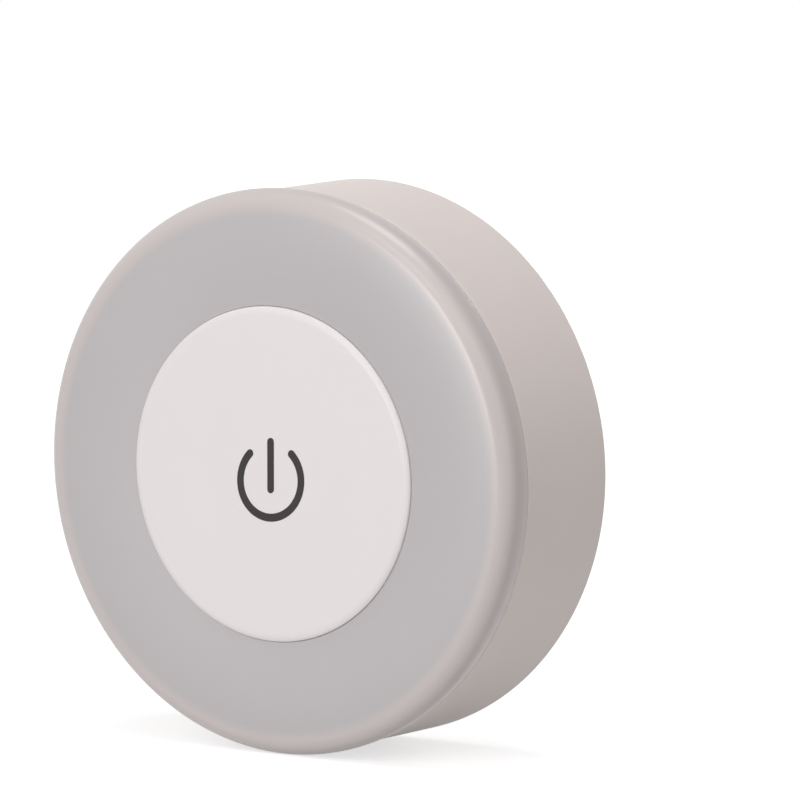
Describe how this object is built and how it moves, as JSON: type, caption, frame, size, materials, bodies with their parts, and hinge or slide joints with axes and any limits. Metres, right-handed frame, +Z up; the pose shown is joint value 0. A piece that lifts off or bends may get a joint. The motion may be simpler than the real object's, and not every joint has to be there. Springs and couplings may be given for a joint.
{
  "type": "wall reading light",
  "caption": "Round battery wall light: drum housing, milky light ring and a touch plate in the middle, held by magnets to a steel plate stuck on the wall.",
  "frame": {"origin": "centre of the back of the adhesive pad, on the wall", "axes": "+Y into the wall, +Z up, +X to the right of a person facing the wall; the light looks along -Y"},
  "size_m": [0.08, 0.0262, 0.08],
  "materials": {
    "shell": "fine moulded white",
    "plate": "satin white",
    "milky": "milky translucent, satin",
    "reflector": "bright white",
    "steel": "plated",
    "nickel": "nickel plated",
    "copper": "copper foil",
    "board": "white solder mask",
    "emitter": "phosphor",
    "chip": "black epoxy",
    "capacitor": "tan ceramic",
    "connector": "natural",
    "clear": "clear",
    "cell": "laminated foil",
    "tape": "amber tape",
    "foam": "foam tape",
    "red_wire": "insulated wire",
    "black_wire": "insulated wire",
    "ink": "printed dark grey",
    "gold": "gold plated"
  },
  "bodies": {
    "wall_mount": {"adhesive_pad": "foam", "steel_plate": "steel"},
    "lamp": {"housing": "shell", "diffuser_ring": "milky", "touch_plate": "plate", "touch_electrode": "copper", "touch_spring": "steel", "reflector": "reflector", "circuit_board": "board", "light_emitters": "emitter", "emitter_resistors": "chip", "charger_chip": "chip", "chip_leads": "steel", "touch_chip": "chip", "driver_transistors": "chip", "capacitors": "capacitor", "usb_shell": "steel", "usb_tongue": "chip", "indicator_pipe": "clear", "charge_indicator": "emitter", "battery_socket": "connector", "battery_plug": "connector", "battery_lead_red": "red_wire", "battery_lead_black": "black_wire", "battery_pad": "foam", "battery_cell": "cell", "battery_protection": "tape", "rear_cover": "shell", "magnets": "nickel", "cover_screws": "steel"}
  },
  "joints": [
    {"name": "pull_off", "type": "slide", "parent": "wall_mount", "child": "lamp", "axis": [0, -1, 0], "range_m": [0, 0.04]}
  ]
}
